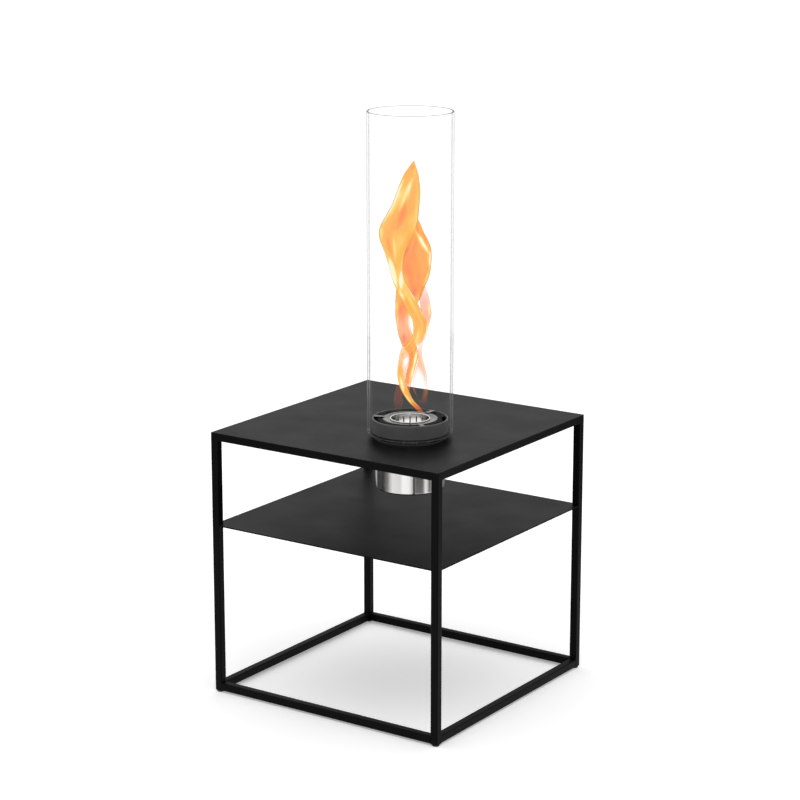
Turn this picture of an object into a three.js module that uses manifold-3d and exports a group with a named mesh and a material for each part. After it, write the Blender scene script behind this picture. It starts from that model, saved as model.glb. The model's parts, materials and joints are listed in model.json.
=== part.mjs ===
// Fire pit table: a square side table of thin black steel tube with a thin steel top and shelf,
// and a swirl-flame burner with a tall glass cylinder let into the top near its front right corner.
// Millimetres, +Z up. The origin is on the floor under the middle of the table.

import * as THREE from 'three';
import { mergeVertices } from 'three/addons/utils/BufferGeometryUtils.js';
import Module from 'manifold-3d';

const wasm = await Module();
wasm.setup();

// Steel frame
const side = 400; // outside of the frame, both ways
const frameHeight = 400; // foot of the legs to the top surface
const tube = 12; // square tube, outside
const tubeWall = 1.2;
const tubeRound = 1.6; // outside corner radius of the tube
const topSheet = 2;
const topEase = 0.6; // softened upper edge of the top
const shelfSheet = 2;
const shelfInset = 1; // shelf edge behind the outside of the legs
const shelfBay = 129; // clear height between the shelf and the top rails

// Push-in foot glides
const glideHeight = 3; // the part that shows under the leg
const glideRadius = 5.5;
const glideEase = 1;
const plugLength = 14;

// Clearances and cuts
const fitGap = 0.3; // between pieces that seat on a round or sloping face
const overrun = 1; // cuts run past a face by this much, and joined solids bite by it

// Burner: the sleeve's radius leads, and the collar, ring and glass step outwards from it
const burnerOffset = 56; // axis from the middle of the table, to the right and to the front
const burnerFacing = THREE.MathUtils.degToRad(-55.7); // the way the cup's seam faces
const sleeveRadius = 50.5;
const sleeveWall = 1;
const sleeveDepth = 75; // hangs this far below the top surface
const sleeveBend = 2.5; // outside radius at the foot of the sleeve
const holeClearance = 1; // hole in the top round the sleeve
const lipRest = 1.5; // the lip laps onto the top by this much

// Collar that stands on the sleeve's lip, with a ring of air inlets
const neckWall = 3.4;
const rimStep = 0.6; // rim stands out from the neck
const rimHeight = 1.6;
const inletHeight = 4;
const inletWidth = 24;

// Swirl ring: two walls joined by slanted vanes, with a ledge outside for the glass
const bladeCount = 9; // vanes, and the inlets below them
const ringOverhang = 1.6; // outer wall stands out past the collar's neck
const ringWall = 2.1;
const ringHeight = 22.4;
const ringEase = 1.2; // rounded upper edge
const ringFlange = 1.5;
const flangeLap = 3; // flange runs inwards past the outer wall by this much
const windowWidth = 6.9; // clear width between the two walls
const innerWall = 3.5;
const innerLedge = 1.5; // ledge at the inner wall's top, on which the funnel plate lies
const innerDrop = 1.8; // inner wall ends this far below the outer one
const vaneThickness = 1.5;
const vaneLean = THREE.MathUtils.degToRad(35);
const vaneRise = 2; // vanes start this far above the flange

// Glass cylinder and its seal
const ringGap = 4; // between the swirl ring and the glass
const glassWall = 3;
const glassLength = 466;
const glassEase = 1.2; // fire-polished edges
const sealThickness = 0.8;
const ledgeInset = 1; // ledge and seal end this far inside the glass's outside

// Funnel plate and its clips
const funnelSheet = 0.8;
const funnelInset = 6.5; // funnel edge behind the inner wall's outside
const funnelWidth = 11.2; // from its edge to the cup's hole
const funnelBorder = 2.2; // flat border that rests on the ledge
const funnelDip = 1.2; // the plate falls this much towards the cup
const clipEvery = 3; // one clip on every third vane
const clipSheet = 1;
const clipWidth = 7;
const clipHold = 2; // reaches this far over the funnel plate

// Slotted burner cup
const cupWall = 0.8;
const cupLip = 0.9; // the hemmed lip stands out past the wall
const cupLipHeight = 1.7;
const cupTaper = 2; // the wall draws in by this much towards its foot
const slotCount = 18;
const slotWidth = 1.8;
const slotTop = 3.4; // slots end this far below the lip
const slotHeight = 15.5;

// Fuel can and the wool in it
const canWall = 0.6;
const canClearance = 1.5; // between the can's seams and the sleeve
const seamStep = 1.5; // seams stand out from the can's side
const seamHeight = 3;
const canDrop = 4.2; // can top below the swirl ring's underside
const panelSink = 1.6; // end panels lie this far inside the seams
const curlHeight = 1.2; // turned-up edge of the mouth
const woolFill = 62; // depth of the absorbent wool
const woolGap = 0.4;

// Facets
const bigTurn = 72; // facets round the ring, cup, collar and glass
const canTurn = 48; // facets round the can and its wool
const smallTurn = 24; // facets round a glide
const arcSteps = 2; // half the steps in a rounded tube corner
const easeSteps = 1; // steps in the glass's rounded ends

// Heights and radii that follow
const topSurface = glideHeight + frameHeight;
const boreWidth = tube - 2 * tubeWall;
const railLength = side - 2 * tube;
const topRailHeight = tube - topSheet;
const holeRadius = sleeveRadius + holeClearance;
const lipRadius = holeRadius + lipRest;
const neckRadius = sleeveRadius + neckWall;
const ringRadius = neckRadius + ringOverhang;
const glassInner = ringRadius + ringGap;
const glassRadius = glassInner + glassWall;
const ledgeRadius = glassRadius - ledgeInset;
const windowOuter = ringRadius - ringWall;
const windowInner = windowOuter - windowWidth;
const ringBore = windowInner - innerWall;
const collarTop = sleeveWall + rimHeight + inletHeight; // above the table's top surface
const ringTop = collarTop + ringHeight;
const innerTop = ringTop - innerDrop;
const funnelEdge = windowInner - funnelInset;
const funnelTop = innerTop + funnelSheet;
const cupRadius = funnelEdge - funnelWidth - fitGap;
const quarter = Math.PI / 2;

// Finishes
const finish = (color, metalness, roughness) =>
  new THREE.MeshStandardMaterial({ color, metalness, roughness });
const powderCoat = finish(0x2a2a2b, 0.0, 0.62);
const castBlack = finish(0x333334, 0.2, 0.5);
const stainless = finish(0xc9cac9, 1.0, 0.3);
const tinplate = finish(0xb9bbbd, 1.0, 0.35);
const softBlack = finish(0x1b1b1c, 0.0, 0.8);
const woolWhite = finish(0xe4e0d6, 0.0, 0.95);
const clearGlass = new THREE.MeshStandardMaterial({
  color: 0xf2f7f6,
  roughness: 0.04,
  transparent: true,
  opacity: 0.25,
});

// Position-only copy of a geometry with shared vertices and no collapsed triangles
function welded(geometry) {
  const bare = new THREE.BufferGeometry();
  bare.setAttribute('position', geometry.getAttribute('position').clone());
  if (geometry.index) bare.setIndex(geometry.index.clone());
  const merged = mergeVertices(bare);
  const kept = [];
  const index = merged.index.array;
  for (let i = 0; i < index.length; i += 3) {
    const [a, b, c] = [index[i], index[i + 1], index[i + 2]];
    if (a !== b && b !== c && c !== a) kept.push(a, b, c);
  }
  merged.setIndex(kept);
  return merged;
}

// Manifold solid of a closed geometry
function solid(geometry) {
  const bare = welded(geometry);
  return new wasm.Manifold(
    new wasm.Mesh({
      numProp: 3,
      vertProperties: Float32Array.from(bare.getAttribute('position').array),
      triVerts: Uint32Array.from(bare.index.array),
    }),
  );
}

// Geometry of a manifold solid
function shapeOf(manifold) {
  const mesh = manifold.getMesh();
  const geometry = new THREE.BufferGeometry();
  geometry.setAttribute('position', new THREE.BufferAttribute(Float32Array.from(mesh.vertProperties), 3));
  geometry.setIndex(Array.from(mesh.triVerts));
  return geometry;
}

// Turned piece: points are [radius, height], anticlockwise with the radius to the right
function turned(points, facets) {
  const profile = points.map(([radius, height]) => new THREE.Vector2(radius, height));
  const closed = profile[0].x > 0 ? [...profile, profile[0].clone()] : profile;
  const lathe = new THREE.LatheGeometry(closed, facets);
  lathe.rotateX(quarter);
  return welded(lathe);
}

// Points of a quarter round in a turned profile, from one angle to the next
function arc(centre, middle, radius, start, end, steps) {
  return Array.from({ length: steps + 1 }, (_, i) => {
    const angle = start + ((end - start) * i) / steps;
    return [centre + radius * Math.cos(angle), middle + radius * Math.sin(angle)];
  });
}

// Rectangle with its own radius at each corner: low left, low right, high right, high left
function cornered(width, height, rounds) {
  const shape = new THREE.Shape();
  const places = [
    [-width / 2, -height / 2],
    [width / 2, -height / 2],
    [width / 2, height / 2],
    [-width / 2, height / 2],
  ];
  places.forEach(([x, y], i) => {
    const round = rounds[i];
    const start = Math.PI + i * quarter;
    if (round > 0) {
      const centre = [x - Math.sign(x) * round, y - Math.sign(y) * round];
      shape.absarc(...centre, round, start, start + quarter);
    } else if (i === 0) {
      shape.moveTo(x, y);
    } else {
      shape.lineTo(x, y);
    }
  });
  shape.closePath();
  return shape;
}

function extruded(shape, depth, options = {}) {
  const settings = { depth, bevelEnabled: false, curveSegments: arcSteps, ...options };
  return new THREE.ExtrudeGeometry(shape, settings);
}

function block(width, depth, height, x, y, z) {
  return new THREE.BoxGeometry(width, depth, height).translate(x, y, z);
}

const table = new THREE.Group();

function addPiece(parent, name, geometry, material) {
  const mesh = new THREE.Mesh(geometry, material);
  mesh.name = name;
  parent.add(mesh);
  return mesh;
}

// Leg: tube from the glide to the underside of the top. Where the rails are welded on, its corners
// are filled and dressed flush, so only the outside corner stays round there.
function legGeometry() {
  const height = frameHeight - topSheet;
  const round = Math.min(tubeRound, tube / 2);
  const outside = solid(extruded(cornered(tube, tube, [round, round, round, round]), height));
  const dressed = cornered(tube, tube, [0, round, 0, 0]);
  const foot = solid(extruded(dressed, tube));
  const head = solid(extruded(dressed, topRailHeight).translate(0, 0, height - topRailHeight));
  const bore = solid(block(boreWidth, boreWidth, height + 2 * overrun, 0, 0, height / 2));
  return shapeOf(outside.add(foot).add(head).subtract(bore));
}

// Rail between two legs, along X. The top rails carry the top sheet, so their upper corners are
// filled and dressed to its edge.
function railGeometry(height, upperRound) {
  const round = Math.min(tubeRound, height / 2);
  const section = cornered(tube, height, [round, round, upperRound, upperRound]);
  const boreHeight = height - 2 * tubeWall;
  const bore = new THREE.Path();
  bore.moveTo(-boreWidth / 2, -boreHeight / 2);
  bore.lineTo(-boreWidth / 2, boreHeight / 2);
  bore.lineTo(boreWidth / 2, boreHeight / 2);
  bore.lineTo(boreWidth / 2, -boreHeight / 2);
  bore.closePath();
  section.holes.push(bore);
  const rail = extruded(section, railLength).translate(0, 0, -railLength / 2);
  const along = new THREE.Matrix4().makeBasis(
    new THREE.Vector3(0, 1, 0),
    new THREE.Vector3(0, 0, 1),
    new THREE.Vector3(1, 0, 0),
  );
  return welded(rail.applyMatrix4(along));
}

// Glide: a round nylon foot with a square plug that pushes into the leg
function glideGeometry() {
  const ease = Math.min(glideEase, glideHeight / 2, glideRadius / 2);
  const foot = turned(
    [
      [0, 0],
      ...arc(glideRadius - ease, ease, ease, -quarter, 0, 3),
      [glideRadius, glideHeight],
      [0, glideHeight],
    ],
    smallTurn,
  );
  const plugWidth = boreWidth - 2 * fitGap;
  const bite = glideHeight / 2;
  const plug = block(plugWidth, plugWidth, plugLength + bite, 0, 0, glideHeight + (plugLength - bite) / 2);
  return shapeOf(solid(foot).add(solid(plug)));
}

// The frame has the same leg, rails and glide at each of its four sides
const sideNames = ['front', 'right', 'back', 'left'];
const cornerNames = ['front_right', 'back_right', 'back_left', 'front_left'];
const tubeLine = (side - tube) / 2; // middle of the tubes from the middle of the table

sideNames.forEach((sideName, i) => {
  const turn = new THREE.Group();
  turn.rotation.z = i * quarter;
  table.add(turn);

  const leg = addPiece(turn, `leg_${cornerNames[i]}`, legGeometry(), powderCoat);
  leg.position.set(tubeLine, -tubeLine, glideHeight);

  const topRail = addPiece(turn, `top_rail_${sideName}`, railGeometry(topRailHeight, 0), powderCoat);
  topRail.position.set(0, -tubeLine, topSurface - topSheet - topRailHeight / 2);

  const lowRail = addPiece(turn, `bottom_rail_${sideName}`, railGeometry(tube, tubeRound), powderCoat);
  lowRail.position.set(0, -tubeLine, glideHeight + tube / 2);

  const glide = addPiece(turn, `foot_glide_${cornerNames[i]}`, glideGeometry(), softBlack);
  glide.position.set(tubeLine, -tubeLine, 0);
});

// Top: sheet that covers legs and rails, with the burner's hole and a softened upper edge
function topGeometry() {
  const outline = cornered(side, side, [tubeRound, tubeRound, tubeRound, tubeRound]);
  const ease = Math.min(topEase, topSheet / 2);
  const sheet = extruded(outline, topSheet, {
    bevelEnabled: true,
    bevelThickness: ease,
    bevelSize: ease,
    bevelOffset: -ease,
    bevelSegments: 2,
  }).translate(0, 0, -ease);
  const slab = solid(block(side, side, topSheet, 0, 0, topSheet / 2));
  const hole = new THREE.CylinderGeometry(holeRadius, holeRadius, topSheet + 2 * overrun, bigTurn);
  hole.rotateX(quarter).translate(burnerOffset, -burnerOffset, topSheet / 2);
  return shapeOf(solid(sheet).intersect(slab).subtract(solid(hole)));
}

const top = addPiece(table, 'top_plate', topGeometry(), powderCoat);
top.position.z = topSurface - topSheet;

// Shelf: flat sheet, notched at its corners to butt against the legs
function shelfGeometry() {
  const edge = side / 2 - shelfInset;
  const notch = side / 2 - tube;
  const outline = new THREE.Shape();
  outline.moveTo(-notch, -edge);
  outline.lineTo(notch, -edge);
  outline.lineTo(notch, -notch);
  outline.lineTo(edge, -notch);
  outline.lineTo(edge, notch);
  outline.lineTo(notch, notch);
  outline.lineTo(notch, edge);
  outline.lineTo(-notch, edge);
  outline.lineTo(-notch, notch);
  outline.lineTo(-edge, notch);
  outline.lineTo(-edge, -notch);
  outline.lineTo(-notch, -notch);
  outline.closePath();
  return welded(extruded(outline, shelfSheet));
}

const shelf = addPiece(table, 'shelf_plate', shelfGeometry(), powderCoat);
shelf.position.z = topSurface - tube - shelfBay - shelfSheet;

// Burner: everything below stands on one axis, with heights from the table's top surface
const burner = new THREE.Group();
burner.position.set(burnerOffset, -burnerOffset, topSurface);
burner.rotation.z = burnerFacing;
table.add(burner);

// Sleeve: spun stainless cup that hangs through the top by its lip
function sleeveGeometry() {
  const foot = -sleeveDepth;
  const bore = sleeveRadius - sleeveWall;
  const bend = Math.max(sleeveBend - sleeveWall, 0);
  return turned(
    [
      [0, foot],
      ...arc(sleeveRadius - sleeveBend, foot + sleeveBend, sleeveBend, -quarter, 0, 3),
      [sleeveRadius, 0],
      [lipRadius, 0],
      [lipRadius, sleeveWall],
      [bore, sleeveWall],
      ...arc(bore - bend, foot + sleeveWall + bend, bend, 0, -quarter, 3),
      [0, foot + sleeveWall],
    ],
    bigTurn,
  );
}

// Collar: black cast ring on the lip, its neck cut into posts that leave the air inlets open
function collarGeometry() {
  const rimTop = sleeveWall + rimHeight;
  const ring = turned(
    [
      [sleeveRadius, sleeveWall],
      [neckRadius + rimStep, sleeveWall],
      [neckRadius + rimStep, rimTop],
      [neckRadius, rimTop],
      [neckRadius, collarTop],
      [sleeveRadius, collarTop],
    ],
    bigTurn,
  );
  let collar = solid(ring);
  for (let i = 0; i < bladeCount; i += 1) {
    const cut = block(
      neckWall + 2 * overrun,
      inletWidth,
      inletHeight + overrun,
      sleeveRadius + neckWall / 2,
      0,
      rimTop + (inletHeight + overrun) / 2,
    );
    cut.rotateZ((i * 2 * Math.PI) / bladeCount);
    collar = collar.subtract(solid(cut));
  }
  return shapeOf(collar);
}

// Where the vanes meet the top of the ring: half a pitch either side of the front
const bladePitch = (2 * Math.PI) / bladeCount;
const bladeAngle = (i) => (i + 1 / 2) * bladePitch;

// Swirl ring: outer wall with the glass's ledge, inner wall with the funnel plate's, and slanted vanes
// that turn the air
function swirlRingGeometry() {
  const flangeTop = collarTop + ringFlange;
  const ease = Math.min(ringEase, ringWall / 2);
  const outer = turned(
    [
      [windowOuter - flangeLap, collarTop],
      [ledgeRadius, collarTop],
      [ledgeRadius, flangeTop],
      [ringRadius, flangeTop],
      ...arc(ringRadius - ease, ringTop - ease, ease, 0, quarter, 3),
      [windowOuter, ringTop],
      [windowOuter, flangeTop],
      [windowOuter - flangeLap, flangeTop],
    ],
    bigTurn,
  );
  const inner = turned(
    [
      [ringBore, flangeTop],
      [windowInner, flangeTop],
      [windowInner, innerTop],
      [funnelEdge - funnelBorder, innerTop],
      [funnelEdge - funnelBorder, innerTop - innerLedge],
      [ringBore, innerTop - innerLedge],
    ],
    bigTurn,
  );
  const vaneFoot = flangeTop + vaneRise;
  const vaneHeight = funnelTop - vaneFoot;
  const bite = ringWall / 2;
  const channel = solid(
    turned(
      [
        [windowInner - bite, vaneFoot],
        [windowOuter + bite, vaneFoot],
        [windowOuter + bite, funnelTop],
        [windowInner, funnelTop],
        [windowInner, innerTop],
        [windowInner - bite, innerTop],
      ],
      bigTurn,
    ),
  );
  let ring = solid(outer).add(solid(inner));
  const reach = (windowInner + windowOuter) / 2;
  for (let i = 0; i < bladeCount; i += 1) {
    const blade = block(windowWidth + 2 * ringWall, vaneThickness, 2 * vaneHeight, 0, 0, 0);
    blade.rotateX(vaneLean).translate(reach, 0, funnelTop).rotateZ(bladeAngle(i));
    ring = ring.add(solid(blade).intersect(channel));
  }
  return shapeOf(ring);
}

// Seal: flat silicone ring between the ledge and the glass
function sealGeometry() {
  const foot = collarTop + ringFlange;
  return turned(
    [
      [ringRadius + fitGap, foot],
      [ledgeRadius, foot],
      [ledgeRadius, foot + sealThickness],
      [ringRadius + fitGap, foot + sealThickness],
    ],
    bigTurn,
  );
}

// Funnel plate: pressed stainless dish from the inner wall's ledge down to the cup, slit at the front
function funnelGeometry() {
  const dish = funnelEdge - funnelBorder;
  const bore = cupRadius + fitGap;
  const plate = turned(
    [
      [bore, innerTop - funnelDip],
      [dish, innerTop],
      [funnelEdge, innerTop],
      [funnelEdge, funnelTop],
      [dish, funnelTop],
      [bore, funnelTop - funnelDip],
    ],
    bigTurn,
  );
  const depth = funnelDip + funnelSheet + 2 * overrun;
  const slit = block(funnelWidth + 2 * overrun, slotWidth, depth, (bore + funnelEdge) / 2, 0, innerTop);
  return shapeOf(solid(plate).subtract(solid(slit)));
}

// Clip: a small stainless strap from the funnel plate to the head of a vane
function clipGeometry() {
  const inner = funnelEdge - clipHold;
  const outer = windowOuter - fitGap;
  const round = clipWidth / 6;
  const outline = cornered(outer - inner, clipWidth, [round, round, round, round]);
  return welded(extruded(outline, clipSheet).translate((inner + outer) / 2, 0, funnelTop));
}

// Burner cup: rolled stainless wall with upright slots, hung in the funnel plate by its hemmed lip.
// The wall narrows towards its foot, just above the can's mouth. The strip's two ends leave a narrow
// seam in the lip, in line with the plate's slit.
function cupGeometry() {
  const lipFoot = funnelTop - funnelDip + fitGap;
  const lipTop = lipFoot + cupLipHeight;
  const foot = collarTop - canDrop - panelSink + curlHeight + fitGap;
  const bore = cupRadius - cupWall;
  const wall = turned(
    [
      [bore - cupTaper, foot],
      [cupRadius - cupTaper, foot],
      [cupRadius, lipFoot],
      [cupRadius + cupLip, lipFoot],
      [cupRadius + cupLip, lipTop],
      [bore, lipTop],
      [bore, lipFoot],
    ],
    bigTurn,
  );
  let cup = solid(wall);
  const slotMiddle = lipFoot - slotTop - slotHeight / 2;
  const across = 2 * (cupRadius + overrun);
  for (let i = 0; i < slotCount / 2; i += 1) {
    const slot = block(across, slotWidth, slotHeight, 0, 0, slotMiddle);
    cup = cup.subtract(solid(slot.rotateZ((i * 2 * Math.PI) / slotCount)));
  }
  const seamHeight = cupLipHeight + overrun;
  const seam = block(cupWall + cupLip + 2 * overrun, slotWidth, seamHeight, 0, 0, seamHeight / 2);
  seam.translate(bore + (cupWall + cupLip) / 2, 0, lipFoot);
  return shapeOf(cup.subtract(solid(seam)));
}

// Fuel can: tin with a rolled seam at each end. Its mouth has a turned-up edge, as wide as the cup's foot.
function canGeometry() {
  const seam = sleeveRadius - sleeveWall - canClearance;
  const wall = seam - seamStep;
  const bore = wall - canWall;
  const foot = sleeveWall - sleeveDepth;
  const head = collarTop - canDrop;
  const panel = head - panelSink;
  const mouth = cupRadius - cupTaper - cupWall;
  return turned(
    [
      [0, foot + panelSink - canWall],
      [wall - canWall, foot + panelSink - canWall],
      [wall - canWall, foot],
      [seam, foot],
      [seam, foot + seamHeight],
      [wall, foot + seamHeight],
      [wall, head - seamHeight],
      [seam, head - seamHeight],
      [seam, head],
      [bore, head],
      [bore, panel],
      [mouth + canWall, panel],
      [mouth + canWall, panel + curlHeight],
      [mouth, panel + curlHeight],
      [mouth, panel - canWall],
      [bore, panel - canWall],
      [bore, foot + panelSink],
      [0, foot + panelSink],
    ],
    canTurn,
  );
}

// Wool: disc of ceramic fibre that soaks up the fuel, so that the can can't spill
function woolGeometry() {
  const radius = sleeveRadius - sleeveWall - canClearance - seamStep - canWall - woolGap;
  const foot = sleeveWall - sleeveDepth + panelSink + woolGap;
  return turned(
    [
      [0, foot],
      [radius, foot],
      [radius, foot + woolFill],
      [0, foot + woolFill],
    ],
    canTurn,
  );
}

// Glass: open borosilicate cylinder with fire-polished edges
function glassGeometry() {
  const foot = collarTop + ringFlange + sealThickness;
  const head = foot + glassLength;
  const ease = Math.min(glassEase, glassWall / 2);
  const outer = glassRadius - ease;
  const inner = glassInner + ease;
  return turned(
    [
      ...arc(outer, foot + ease, ease, -quarter, 0, easeSteps),
      ...arc(outer, head - ease, ease, 0, quarter, easeSteps),
      ...arc(inner, head - ease, ease, quarter, 2 * quarter, easeSteps),
      ...arc(inner, foot + ease, ease, 2 * quarter, 3 * quarter, easeSteps),
    ],
    bigTurn,
  );
}

addPiece(burner, 'burner_sleeve', sleeveGeometry(), stainless);
addPiece(burner, 'air_collar', collarGeometry(), castBlack);
addPiece(burner, 'swirl_ring', swirlRingGeometry(), castBlack);
addPiece(burner, 'glass_seal', sealGeometry(), softBlack);
addPiece(burner, 'funnel_plate', funnelGeometry(), stainless);
addPiece(burner, 'burner_cup', cupGeometry(), stainless);
addPiece(burner, 'fuel_can', canGeometry(), tinplate);
addPiece(burner, 'absorbent_wool', woolGeometry(), woolWhite);
const glass = addPiece(burner, 'glass_cylinder', glassGeometry(), clearGlass);
glass.rotation.z = -burnerFacing; // its facets lie square to the table

for (let i = 0; i < bladeCount; i += clipEvery) {
  const clip = addPiece(burner, `funnel_clip_${i / clipEvery + 1}`, clipGeometry(), stainless);
  clip.rotation.z = bladeAngle(i);
}

export default table;
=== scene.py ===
import json
from math import atan2, cos, degrees, exp, hypot, pi, radians, sin, tau

import bmesh
import bpy
from mathutils import Matrix, Vector, noise


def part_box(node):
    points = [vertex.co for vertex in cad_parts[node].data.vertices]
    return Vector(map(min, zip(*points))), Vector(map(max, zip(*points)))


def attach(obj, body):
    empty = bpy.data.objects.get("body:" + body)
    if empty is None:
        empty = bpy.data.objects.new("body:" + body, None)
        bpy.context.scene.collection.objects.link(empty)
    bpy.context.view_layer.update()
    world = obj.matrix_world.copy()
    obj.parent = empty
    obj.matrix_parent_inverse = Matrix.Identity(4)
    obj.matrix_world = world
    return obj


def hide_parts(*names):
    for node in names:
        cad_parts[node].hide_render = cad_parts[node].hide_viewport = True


# Fire pit table: a black steel frame with a sheet top and shelf, and a stainless swirl-flame burner
# with a tall glass cylinder let into the top. Metres, +Z up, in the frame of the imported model.
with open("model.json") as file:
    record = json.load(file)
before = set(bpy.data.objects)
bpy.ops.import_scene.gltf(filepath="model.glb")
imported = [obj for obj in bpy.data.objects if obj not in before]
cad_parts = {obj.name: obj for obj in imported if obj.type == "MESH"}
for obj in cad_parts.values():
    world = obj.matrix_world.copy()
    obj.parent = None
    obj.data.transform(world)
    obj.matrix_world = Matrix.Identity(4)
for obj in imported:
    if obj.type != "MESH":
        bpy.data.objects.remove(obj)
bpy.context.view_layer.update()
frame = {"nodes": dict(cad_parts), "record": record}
mm = 0.001


# Steel frame
# Legs and rails of 12 mm square steel tube, welded at the corners, ground flush and coated black.
# The coat leaves every edge slightly round, and its fine grit keeps the faces matt.
edge_round = 0.25 * mm
weld_distance = 0.005 * mm  # corners of a CAD mesh that are nearer than this are one
flat_turn = radians(1)  # faces that turn less than this are one flat
sharp_turn = radians(40)  # edges that turn more than this are rounded
coat_black = "#0d0d0e"
coat_worn = "#111112"
coat_grit = 0.9 * mm  # the real grit is about 0.2 mm, drawn coarser so that it shows
coat_cloud = 70 * mm  # slow change in the coat's thickness
noise_low = 0.3  # most of a noise pattern lies between these two
noise_high = 0.7


def linear(colour):
    """An sRGB hex colour as the linear one that shaders take."""
    values = [int(colour[i : i + 2], 16) / 255 for i in (1, 3, 5)]
    return [v / 12.92 if v <= 0.04045 else ((v + 0.055) / 1.055) ** 2.4 for v in values] + [1.0]


def add_node(tree, kind, sockets, **settings):
    """A node with its settings. A socket takes a value, or the output that is linked to it."""
    made = tree.nodes.new(kind)
    for name, value in settings.items():
        setattr(made, name, value)
    for name, value in sockets.items():
        if isinstance(value, bpy.types.NodeSocket):
            tree.links.new(value, made.inputs[name])
        else:
            made.inputs[name].default_value = value
    return made


def new_material(name):
    """A material with an empty node tree."""
    made = bpy.data.materials.new(name)
    made.use_nodes = True
    made.node_tree.nodes.clear()
    return made, made.node_tree


def merged_copy(node):
    """A CAD node's shape as a mesh of whole faces, with its sharp edges rounded."""
    shape = bmesh.new()
    shape.from_mesh(frame["nodes"][node].data)
    bmesh.ops.remove_doubles(shape, verts=shape.verts, dist=weld_distance)
    bmesh.ops.dissolve_limit(shape, angle_limit=flat_turn, verts=shape.verts, edges=shape.edges)
    sharp = [e for e in shape.edges if e.is_manifold and e.calc_face_angle() > sharp_turn]
    bmesh.ops.bevel(
        shape, geom=sharp, offset=edge_round, affect="EDGES", segments=2, profile=0.5, material=-1,
        clamp_overlap=True,
    )
    return shape


def add_piece(name, shape, material, smooth=40):
    """A piece from its mesh, smooth across edges that turn less than so many degrees.

    Large faces set the normals at their borders, so that flats stay flat beside a rounded edge.
    """
    mesh = bpy.data.meshes.new(name)
    shape.to_mesh(mesh)
    shape.free()
    mesh.shade_smooth()
    mesh.set_sharp_from_angle(angle=radians(smooth))
    mesh.materials.append(material)
    piece = bpy.data.objects.new(name, mesh)
    bpy.context.scene.collection.objects.link(piece)
    piece.modifiers.new("flat_faces", "WEIGHTED_NORMAL").keep_sharp = True
    return piece


powder_coat, tree = new_material("powder_coat_black_fine_texture")
place = add_node(tree, "ShaderNodeTexCoord", {}).outputs["Object"]
grit = add_node(tree, "ShaderNodeTexNoise", {"Vector": place, "Scale": 1 / coat_grit, "Detail": 2.0})
cloud = add_node(tree, "ShaderNodeTexNoise", {"Vector": place, "Scale": 1 / coat_cloud, "Detail": 3.0})
tint = add_node(
    tree, "ShaderNodeMix",
    {"Factor": cloud.outputs["Fac"], "A": linear(coat_black), "B": linear(coat_worn)},
    data_type="RGBA",
)
gloss = add_node(
    tree, "ShaderNodeMapRange",
    {
        "Value": cloud.outputs["Fac"], "From Min": noise_low, "From Max": noise_high,
        "To Min": 0.4, "To Max": 0.46,
    },
)
bump = add_node(
    tree, "ShaderNodeBump", {"Height": grit.outputs["Fac"], "Strength": 0.35, "Distance": 0.05 * mm}
)
surface = add_node(
    tree, "ShaderNodeBsdfPrincipled",
    {
        "Base Color": tint.outputs["Result"],
        "Roughness": gloss.outputs["Result"],
        "Specular IOR Level": 0.05,
        "Normal": bump.outputs["Normal"],
    },
)
add_node(tree, "ShaderNodeOutputMaterial", {"Surface": surface.outputs["BSDF"]})

table_nodes = frame["record"]["behaviour"]["bodies"]["table"]
for node in table_nodes:
    if "leg" in node or "rail" in node:
        tube = add_piece(f"{node}_tube", merged_copy(node), powder_coat)
        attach(tube, "table")
        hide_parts(node)


# Foot glides
# Black nylon feet, injection moulded, with a square plug that pushes into each leg. Their rim
# shows as a thin dark line under the leg, a little glossier than the coat.
nylon_black = "#0e0e0f"
nylon_grain = 1.5 * mm  # the real grain is about 0.1 mm, drawn coarser so that it shows

nylon, tree = new_material("nylon_black_moulded")
place = add_node(tree, "ShaderNodeTexCoord", {}).outputs["Object"]
grain = add_node(tree, "ShaderNodeTexNoise", {"Vector": place, "Scale": 1 / nylon_grain})
bump = add_node(
    tree, "ShaderNodeBump", {"Height": grain.outputs["Fac"], "Strength": 0.2, "Distance": 0.05 * mm}
)
surface = add_node(
    tree, "ShaderNodeBsdfPrincipled",
    {
        "Base Color": linear(nylon_black),
        "Roughness": 0.5,
        "IOR": 1.53,
        "Specular IOR Level": 0.3,
        "Normal": bump.outputs["Normal"],
    },
)
add_node(tree, "ShaderNodeOutputMaterial", {"Surface": surface.outputs["BSDF"]})

for node in table_nodes:
    if "glide" in node:
        glide = add_piece(f"{node}_moulding", merged_copy(node), nylon)
        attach(glide, "table")
        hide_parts(node)


# Top and shelf
# Laser-cut 2 mm steel sheets, welded to the frame and coated with it. The top has the burner's
# round hole, and the shelf is notched round the legs.
for node in ("top_plate", "shelf_plate"):
    sheet = add_piece(f"{node}_sheet", merged_copy(node), powder_coat)
    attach(sheet, "table")
    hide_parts(node)


# Burner sleeve
# Stainless steel cup, spun and then brushed in the lathe, hung through the top by its lip. The
# fine rings left by the brush stretch every reflection upright.
sleeve_radius = 50.5 * mm
sleeve_wall = 1 * mm
sleeve_bend = 2.5 * mm
lip_radius = 53 * mm
fine_round = 0.3 * mm  # left on turned and cast edges
full_round = 0.5 * mm  # on spun and rolled ones
burner_facing = radians(-55.7)  # the way the cup's seam faces
steel_bright = "#ebeae8"
brush_line = 0.5 * mm  # real brush lines are about 0.05 mm apart, drawn coarser so that they show
brush_spread = 0.06  # how far the roughness changes from line to line, as a share of it
turn_steps = 144
axis_width = 0.001 * mm  # points nearer to the axis than this are on it
turn_map = "turn"  # UV map of a turned piece: along its section, and round the axis

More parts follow.
